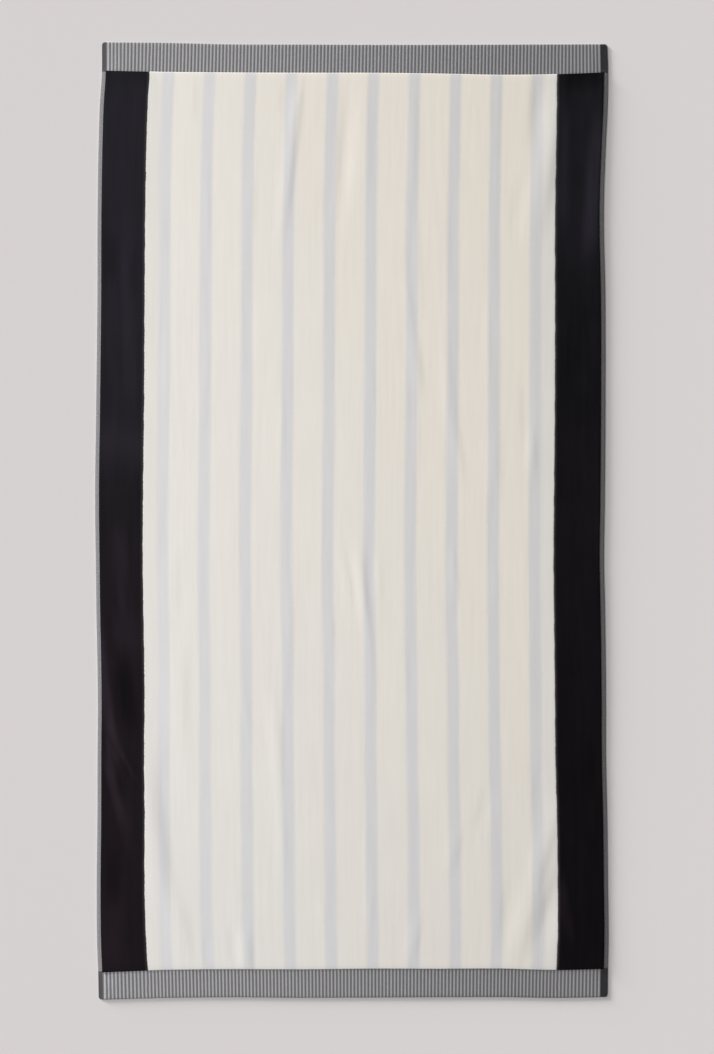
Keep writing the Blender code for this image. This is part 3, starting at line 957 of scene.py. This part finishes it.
LOW_LIGHT = 8.10
LOW_LIGHT_SPREAD = 15.5  # degrees, as seen from the towel
LOW_LIGHT_TURN = 36  # degrees from the towel's left towards its top
LOW_LIGHT_ELEVATION = 8  # degrees
LOW_LIGHT_PLACE = (0, 0, 3)
SOFTBOX_PLACE = (-2.2, 0.35, 3.2)
SOFTBOX_SIZE = 3.6
SOFTBOX_POWER = 120
SOFTBOX_SHARE = 0.545  # of the light on the floor
SOFTBOX_FALLOFF = 2.5  # power of the distance by which its light on the floor weakens
SOFTBOX_NEAREST = 0.7  # of its distance from the towel's middle
SOFTBOX_FARTHEST = 1.3
ROUND_LIGHT = 0.07


def make_floor():
    """A plain pale floor with painted light and shade: its colour is drawn darker near the softbox
    and lighter away from it, evening out that lamp's falloff.
    """
    bpy.ops.mesh.primitive_plane_add(size=FLOOR_SIZE, location=(0, 0, -FLOOR_DROP))
    floor = bpy.context.object
    floor.name = "floor"
    material = bpy.data.materials.new("floor")
    material.use_nodes = True
    tree = material.node_tree
    shader = tree.nodes["Principled BSDF"]
    shader.inputs["Roughness"].default_value = 1.0
    shader.inputs["Specular IOR Level"].default_value = 0.0
    place = tree.nodes.new("ShaderNodeTexCoord")
    away = tree.nodes.new("ShaderNodeVectorMath")
    away.operation = "DISTANCE"
    away.inputs[1].default_value = SOFTBOX_PLACE
    middle = Vector(SOFTBOX_PLACE).length
    falloff = SOFTBOX_FALLOFF * SOFTBOX_SHARE
    even = tree.nodes.new("ShaderNodeMapRange")
    even.inputs["From Min"].default_value = SOFTBOX_NEAREST * middle
    even.inputs["From Max"].default_value = SOFTBOX_FARTHEST * middle
    even.inputs["To Min"].default_value = 1 - (1 - SOFTBOX_NEAREST) * falloff
    even.inputs["To Max"].default_value = 1 + (SOFTBOX_FARTHEST - 1) * falloff
    colour = tree.nodes.new("ShaderNodeVectorMath")
    colour.operation = "SCALE"
    colour.inputs[0].default_value = FLOOR_COLOUR
    tree.links.new(place.outputs["Object"], away.inputs[0])
    tree.links.new(away.outputs["Value"], even.inputs["Value"])
    tree.links.new(even.outputs["Result"], colour.inputs["Scale"])
    tree.links.new(colour.outputs[0], shader.inputs["Base Color"])
    floor.data.materials.append(material)


def add_light(data, place, towards):
    """A lamp at a place, shining along the direction from "towards" to the towel."""
    lamp = bpy.data.objects.new(data.name, data)
    lamp.location = place
    lamp.rotation_mode = "QUATERNION"
    lamp.rotation_quaternion = Vector(towards).to_track_quat("Z", "Y")
    bpy.context.scene.collection.objects.link(lamp)


def make_lights():
    """Low light from the upper left, a broad softbox high on the left, and a little from
    all round."""
    low = bpy.data.lights.new("low_window", "SUN")
    low.energy = LOW_LIGHT
    low.angle = math.radians(LOW_LIGHT_SPREAD)
    turn, rise = math.radians(LOW_LIGHT_TURN), math.radians(LOW_LIGHT_ELEVATION)
    flat = math.cos(rise)
    towards = (-math.cos(turn) * flat, math.sin(turn) * flat, math.sin(rise))
    add_light(low, LOW_LIGHT_PLACE, towards)

    softbox = bpy.data.lights.new("softbox", "AREA")
    softbox.shape = "DISK"
    softbox.size = SOFTBOX_SIZE
    softbox.energy = SOFTBOX_POWER
    add_light(softbox, SOFTBOX_PLACE, SOFTBOX_PLACE)

    world = bpy.context.scene.world or bpy.data.worlds.new("world")
    bpy.context.scene.world = world
    world.use_nodes = True
    background = world.node_tree.nodes["Background"]
    background.inputs["Color"].default_value = (1, 1, 1, 1)
    background.inputs["Strength"].default_value = ROUND_LIGHT


def make_camera():
    data = bpy.data.cameras.new("camera")
    data.lens = LENS
    data.sensor_width = SENSOR
    height = IMAGE_HEIGHT * PIXEL * LENS / SENSOR + PILE_THICKNESS
    right = (IMAGE_WIDTH / 2 - TOWEL_MIDDLE_PIXEL[0]) * PIXEL
    up = (TOWEL_MIDDLE_PIXEL[1] - IMAGE_HEIGHT / 2) * PIXEL
    camera = bpy.data.objects.new("camera", data)
    camera.location = (right, up, height)
    bpy.context.scene.collection.objects.link(camera)
    bpy.context.scene.camera = camera


make_towel()
make_floor()
make_lights()
make_camera()
bpy.context.scene.view_settings.view_transform = "Standard"
